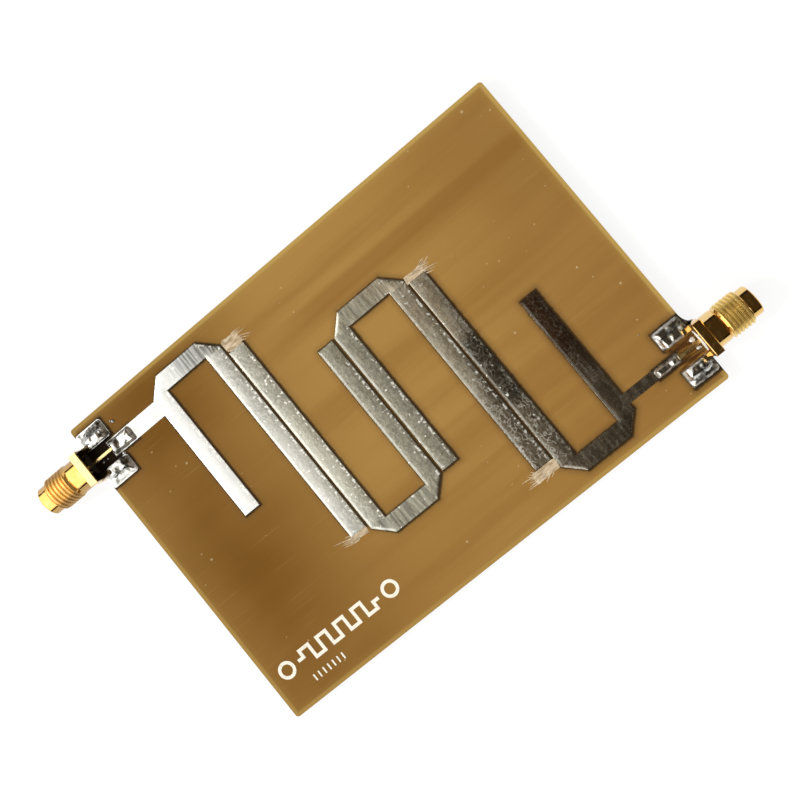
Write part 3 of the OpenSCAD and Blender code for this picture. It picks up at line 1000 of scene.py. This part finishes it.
# Beads of solder spattered beside the joints. At the output, flux and solder ran over the board's edge
# into the corner beside the flange; that blob is painted near-black, a painted shadow.
splash_places = {
    "input": (
        (-0.0446, 0.02350, 0.00028), (-0.0436, 0.02345, 0.00018), (-0.0391, 0.02822, 0.00026),
        (-0.0388, 0.02795, 0.00030), (-0.0408, 0.02690, 0.00034), (-0.0407, 0.02245, 0.00030),
    ),
    "output": ((0.0452, -0.02305, 0.00050), (0.0452, -0.02470, 0.00048), (0.0392, -0.0170, 0.00012)),
}
bead_flatness = 0.7
bead_lump = 0.3
spill_x = 0.0014
spill_y = 0.0026
spill_base = board_low.z + 0.0003
spill_t = 0.0015
spill_wall = 0.6
spill_edge = 0.0003
spill_hollow = 1.7
spill_steps = 8
spill_shadow_black = (0.018, 0.011, 0.006, 1)
spill_shadow_brown = (0.060, 0.034, 0.016, 1)


def spill_shadow_finish():
    """Near-black glossy resin: a painted shadow on the spilt flux and solder."""
    material, here = new_finish("spill_in_painted_shadow", IOR=1.5)
    cracks = mottle(here, 2200, 3)
    colour = blend(cracks, spill_shadow_black, spill_shadow_brown)
    return coat(material, Base_Color=colour, Roughness=spread(cracks, 0, 1, 0.25, 0.6))


def spatter(end):
    """Flat beads of solder on the board."""
    shape = bmesh.new()
    for x, y, r in splash_places[end]:
        for vertex in bmesh.ops.create_icosphere(shape, subdivisions=3, radius=r)["verts"]:
            bulge = 1 + bead_lump * noise.noise(vertex.co / r + Vector((x, y, 0)) / r)
            flat = Vector((vertex.co.x, vertex.co.y, bead_flatness * vertex.co.z))
            vertex.co = Vector((x, y, board_high.z)) + flat * bulge
    return finish_mesh(f"{end}_splashes", shape, solder)


def spill_height(point, inset):
    """How high the spilt flux stands, with round edges and lumps."""
    lump = solder_lump * waver(point, 0, lump_len)
    return spill_t * (spill_wall + (1 - spill_wall) * rounding(inset, spill_edge)) + lump


def spill_outline(corner_x, corner_y):
    """A triangle with a hollow long side, between the board's edge and the flange's side."""
    shares = [k / spill_steps for k in range(spill_steps + 1)]
    hollow = [(spill_x * (1 - t) ** spill_hollow, spill_y * t ** spill_hollow) for t in shares]
    return [Vector((corner_x + a, corner_y + b)) for a, b in [(0, 0), *hollow]]


for end in ("input", "output"):
    fix(spatter(end))
spilt = spill_outline(board_half_x, axis_of("output").y + flange_half)
fix(lay_skin("output_spill", spilt, spill_base, solder_step, spill_height, spill_shadow_finish()))

# A few strokes of a knife trimmed the open ends of the long legs to tune the filter. They left torn
# patches of pale glass fibre in the board, with strands that stand off to one side.
fibre_pale = (0.70, 0.57, 0.41, 1)
fibre_tan = (0.50, 0.38, 0.235, 1)
fibre_gap = (0.26, 0.185, 0.10, 1)
fibre_half = 0.00013
fibre_tip_half = 0.000012
fibre_rise = 0.00007
fibre_points = 9
fibre_shift = 0.00028
fibre_splay = 0.0003
fibre_bow = 0.00018
fibre_fans = (-0.7, 0, 0.7)
fibre_taper = 0.6
fibre_sink = 0.7
fibre_thinner = 0.2
fibre_shorter = 0.16
fibre_back = 0.125
patch_step = 0.0003
patch_base = 0.00001
patch_rise = 0.00004
patch_sway = 0.0004
patch_fade = 0.0003
patch_sway_len = 0.0007
torn_len = 0.0004
torn_stretch = 0.4
# Each scrape lies by the low (0) or high (1) end of its hairpin, along X and along Y. From that corner
# come the patch's low and high corner, and then the start and end of every strand.
scrapes = {
    "second": (0, 1, (
        (-0.0001, 0), (0.0032, 0.0025),
        (0.0028, 0.0021), (0.0050, 0.0020), (0.0026, 0.0012), (0.0056, -0.0003),
    )),
    "input": (1, 0, (
        (-0.0034, -0.0011), (0, 0), (-0.0030, -0.0006), (-0.0067, 0.0005),
        (-0.0032, -0.0001), (-0.0052, 0.0004), (-0.0025, -0.0009), (-0.0052, -0.0004),
    )),
    "output": (0, 1, (
        (-0.0004, 0), (0.0033, 0.0013), (0.0031, 0.0011), (0.0055, 0.0019),
        (0.0030, 0), (0.0062, -0.0009), (0.0026, 0.0006), (0.0050, 0.0005),
    )),
    "third": (1, 0, (
        (-0.0042, -0.0021), (0.0004, 0), (-0.0034, -0.0011), (-0.0064, -0.0005), (-0.0037, -0.0006),
        (-0.0049, 0.0006), (-0.0034, -0.0015), (-0.0061, -0.0016), (-0.0010, -0.0016), (-0.0030, -0.0026),
    )),
}


def fibre_finish():
    """Torn glass cloth, in pale strands."""
    material, here = new_finish("torn_fibre", Roughness=0.8, Specular_IOR_Level=0.2)
    strands = mottle(here, 2600, 2, stretch=(0.25, 1, 1))
    gaps = mottle(here, 1500, 2, 0.50, 0.58, stretch=(0.5, 1, 1))
    colour = paint(fibre_pale, (strands, fibre_tan), (gaps * 0.5, fibre_gap))
    return coat(material, Base_Color=colour, Normal=raised(strands, 0.6, 0.00004))


def lay_fibre(shape, start, end, bow, half):
    """One strand on the board, bowed sideways, that tapers to its end."""
    side = Vector((start.y - end.y, end.x - start.x)).normalized()
    rings = []
    for k in range(fibre_points):
        t = k / (fibre_points - 1)
        middle = start.lerp(end, t) + side * bow * 4 * t * (1 - t)
        wide = side * (half * (1 - t) ** fibre_taper + fibre_tip_half)
        points = ((middle - wide, 0), (middle, fibre_rise * (1 - fibre_sink * t)), (middle + wide, 0))
        rings.append([shape.verts.new((*point, board_high.z + rise)) for point, rise in points])
    bridge(shape, [[*ring, ring[0]] for ring in rings])
    shape.faces.new(rings[0])
    shape.faces.new(rings[-1][::-1])


def rough_height(point, inset):
    """How high torn cloth stands on the board."""
    torn = 0.5 + waver(Vector((point.x * torn_stretch, point.y)), 0.5, torn_len)
    return patch_base + patch_rise * max(torn, 0) * min(inset / patch_fade, 1)


def tear_board(name, low, high, strands):
    """A torn patch between two corners, and its strands, each from a start to an end."""
    outline = []
    for corner in rounded_box(low, high, min(high.x - low.x, high.y - low.y) / 4):
        shift = patch_sway * waver(corner, 0.2, patch_sway_len)
        outline.append(corner + Vector((shift, shift)))
    patch = lay_skin(f"{name}_patch", outline, board_high.z, patch_step, rough_height, fibre)
    shape = bmesh.new()
    for i, (start, end) in enumerate(strands):
        way = end - start
        across = Vector((-way.y, way.x)).normalized()
        for k, fan in enumerate(fibre_fans):
            reach = 1 - fibre_shorter * ((k * 7 + i * 3) % 4)
            first = start + across * fan * fibre_shift - way * fibre_back * ((k + i) % 3)
            last = start + way * reach + across * fan * (fibre_shift + fibre_splay * ((k + i) % 2))
            lay_fibre(shape, first, last, fan * fibre_bow, fibre_half * (1 - fibre_thinner * abs(fan)))
    bmesh.ops.recalc_face_normals(shape, faces=shape.faces)
    for piece in (patch, finish_mesh(f"{name}_strands", shape, fibre)):
        fix(piece)


fibre = fibre_finish()
for name, (side_x, side_y, offsets) in scrapes.items():
    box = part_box(f"{name}_hairpin")
    spots = [Vector((box[side_x].x + x, box[side_y].y + y)) for x, y in offsets]
    tear_board(f"{name}_scrape", *spots[:2], list(zip(spots[2::2], spots[3::2])))

# The legend is printed on the bare board in one pass of off-white ink: two ring-shaped ports joined by
# one square wave, over a short row of ticks.
ink_white = (0.93, 0.90, 0.78, 1)
ink_worn = (0.74, 0.66, 0.48, 1)
ink_t = 0.000025
ink_low = Vector((-board_half_x + 0.0022, -board_half_y + 0.0058))
ink_high = 0.0032
ink_stroke = 0.00060
ink_gap = 0.0009
wave_lead = Vector((0.0012, 0))
wave_step = Vector((0.00193, 0))
wave_turns = 4
ring_points = 40
tick_low = Vector((-board_half_x + 0.0068, -board_half_y + 0.0029))
tick_high = 0.0012
tick_w = 0.00028
tick_pitch = 0.00103
tick_count = 7


def ink_finish():
    """Screen-printed ink, worn thin in places."""
    material, here = new_finish("legend_ink", Roughness=0.6, Specular_IOR_Level=0.2)
    worn = mottle(here, 1600, 3, 0.55, 0.8)
    return coat(material, Base_Color=blend(worn, ink_white, ink_worn), Normal=raised(worn, 0.3, 0.00001))


def print_outline(shape, corners):
    """A flat patch of ink inside an outline."""
    base = [shape.verts.new((*corner, board_high.z)) for corner in corners]
    lifted = bmesh.ops.extrude_face_region(shape, geom=[shape.faces.new(base)])["geom"]
    top = [g for g in lifted if isinstance(g, bmesh.types.BMVert)]
    bmesh.ops.translate(shape, verts=top, vec=(0, 0, ink_t))


def print_ring(shape, middle):
    """A ring of ink, as high as the wave."""
    loops = []
    outer = ink_high / 2
    inner = outer - ink_stroke
    for r, z in ((outer, 0), (outer, ink_t), (inner, ink_t), (inner, 0)):
        loops.append([
            shape.verts.new((middle.x + r * math.cos(a), middle.y + r * math.sin(a), board_high.z + z))
            for a in (math.tau * k / ring_points for k in range(ring_points))
        ])
    bridge(shape, [[*loop, loop[0]] for loop in loops + loops[:1]])


def print_stroke(shape, points):
    """A stroke of ink along a line that turns square."""
    left, right = [], []
    for i, point in enumerate(points):
        before = (point - points[i - 1]).normalized() if i else None
        after = (points[i + 1] - point).normalized() if i + 1 < len(points) else before
        before = before or after
        out = Vector((-before.y - after.y, before.x + after.x)) / (1 + before.dot(after))
        left.append(point + out * ink_stroke / 2)
        right.append(point - out * ink_stroke / 2)
    print_outline(shape, right + left[::-1])


def print_legend():
    """The whole legend, as one print."""
    shape = bmesh.new()
    middle = ink_low + Vector((ink_high, ink_high)) / 2
    past_ring = Vector((ink_high / 2 + ink_gap, 0))
    swing = Vector((0, (ink_high - ink_stroke) / 2))
    start = middle + past_ring
    pen = start + wave_lead
    wave = [start, pen]
    for side in (1, -1) * wave_turns:
        wave += [pen + side * swing, pen + wave_step + side * swing]
        pen = pen + wave_step
    wave += [pen, pen + wave_lead]
    print_stroke(shape, wave)
    for place in (middle, wave[-1] + past_ring):
        print_ring(shape, place)
    tick = ((0, 0), (tick_w, 0), (tick_w, tick_high), (0, tick_high))
    for k in range(tick_count):
        print_outline(shape, [tick_low + Vector((k * tick_pitch + x, y)) for x, y in tick])
    bmesh.ops.recalc_face_normals(shape, faces=shape.faces)
    return finish_mesh("printed_legend", shape, ink_finish())


fix(print_legend())

# The stage: a plain white table in a room with windows along the left, a low sun through them, and a
# dim warm ceiling. The camera looks down on the board, which lies turned in the frame.
table_half = 2.0
table_colour = (0.12, 0.12, 0.12, 1)
table_glow = 0.9
window_white = (0.97, 0.99, 1.0)
ceiling_warm = (0.295, 0.250, 0.180, 1)
ceiling_dark = (0.055, 0.044, 0.030, 1)
window_strength = 1.8
backdrop_top = 0.09
low_dark = (0.012, 0.010, 0.008, 1)
low_warm = (0.26, 0.23, 0.18, 1)
sun_strength = 1.35
sun_width = math.radians(6)
sun_way = Vector((0.72, -0.25, -0.64))
camera_spot = Vector((0.02201, 0.00108, 0.16057))
camera_aim = Vector((0.00650, 0.00880, 0.0027))
camera_roll = math.radians(-39.433)
camera_lens = 42.75
camera_shift = (0.0204, -0.0750)


def seen_directly(tree):
    """1 for rays that see the background itself or its mirror image, and 0 for those that only light."""
    path = add_node(tree, "ShaderNodeLightPath")
    return most(path["Is Camera Ray"], path["Is Glossy Ray"], path["Is Transmission Ray"])


def table_finish():
    """A white table that stays white to the eye and still takes a faint shadow."""
    material = bpy.data.materials.new("table")
    material.use_nodes = True
    tree = material.node_tree
    tree.nodes.clear()
    matt = add_node(tree, "ShaderNodeBsdfDiffuse", {"Color": table_colour})[0]
    glow = add_node(tree, "ShaderNodeEmission", {"Strength": seen_directly(tree) * table_glow})[0]
    both = add_node(tree, "ShaderNodeAddShader", {0: matt, 1: glow})[0]
    add_node(tree, "ShaderNodeOutputMaterial", {"Surface": both})
    return material


def lay_table():
    """The table's top, under the part."""
    mesh = bpy.data.meshes.new("table")
    h = table_half
    mesh.from_pydata([(-h, -h, 0), (h, -h, 0), (h, h, 0), (-h, h, 0)], [], [(0, 1, 2, 3)])
    mesh.materials.append(table_finish())
    place_object("table", mesh)


def light_studio():
    """Bright windows on the left, warm ceiling above them, and darkness to the right and along the floor."""
    world = bpy.data.worlds.new("studio")
    world.use_nodes = True
    bpy.context.scene.world = world
    tree = world.node_tree
    tree.nodes.clear()
    x, y, z = parts_of(add_node(tree, "ShaderNodeTexCoord")["Generated"])
    far_right = most(spread(y, 0.01, -0.02), spread(x, 0.02, 0.05))
    overhead = spread(x, -0.06, -0.03) * spread(x, 0.55, 0.40)
    ceiling = blend(overhead * far_right, ceiling_warm, ceiling_dark)
    low_light = blend(spread(abs(x), 0.50, 0.64), low_dark, low_warm)
    windows = dim(window_white, spread(x, -0.16, -0.33) * window_strength)
    outward = most(-0.27 - 0.6 * x, 0)
    colour = blend(spread(z + outward, 0.22, 0.42), low_light, ceiling + windows)
    backdrop = seen_directly(tree) * spread(z, backdrop_top, backdrop_top / 2)
    backdrop = most(backdrop, add_node(tree, "ShaderNodeLightPath")["Is Camera Ray"])
    seen = blend(backdrop, colour, (1, 1, 1, 1))
    background = add_node(tree, "ShaderNodeBackground", {"Color": seen, "Strength": 1.0})[0]
    add_node(tree, "ShaderNodeOutputWorld", {"Surface": background})

    sun = bpy.data.lights.new("low_sun", "SUN")
    sun.energy = sun_strength
    sun.angle = sun_width
    place_object("low_sun", sun).rotation_euler = sun_way.to_track_quat("-Z", "Y").to_euler()


def set_camera():
    """The photograph's viewpoint, above the right half of the board."""
    lens = bpy.data.cameras.new("camera")
    lens.sensor_width = 36
    lens.lens = camera_lens
    lens.shift_x, lens.shift_y = camera_shift
    back = (camera_spot - camera_aim).normalized()
    right = Vector((0, 1, 0)).cross(back).normalized()
    level = Matrix((right, back.cross(right), back)).transposed()
    turned_level = (level @ Matrix.Rotation(camera_roll, 3, "Z")).to_4x4()
    camera = place_object("camera", lens)
    camera.matrix_world = Matrix.Translation(camera_spot) @ turned_level
    bpy.context.scene.camera = camera


lay_table()
light_studio()
set_camera()
bpy.context.scene.view_settings.view_transform = "Standard"
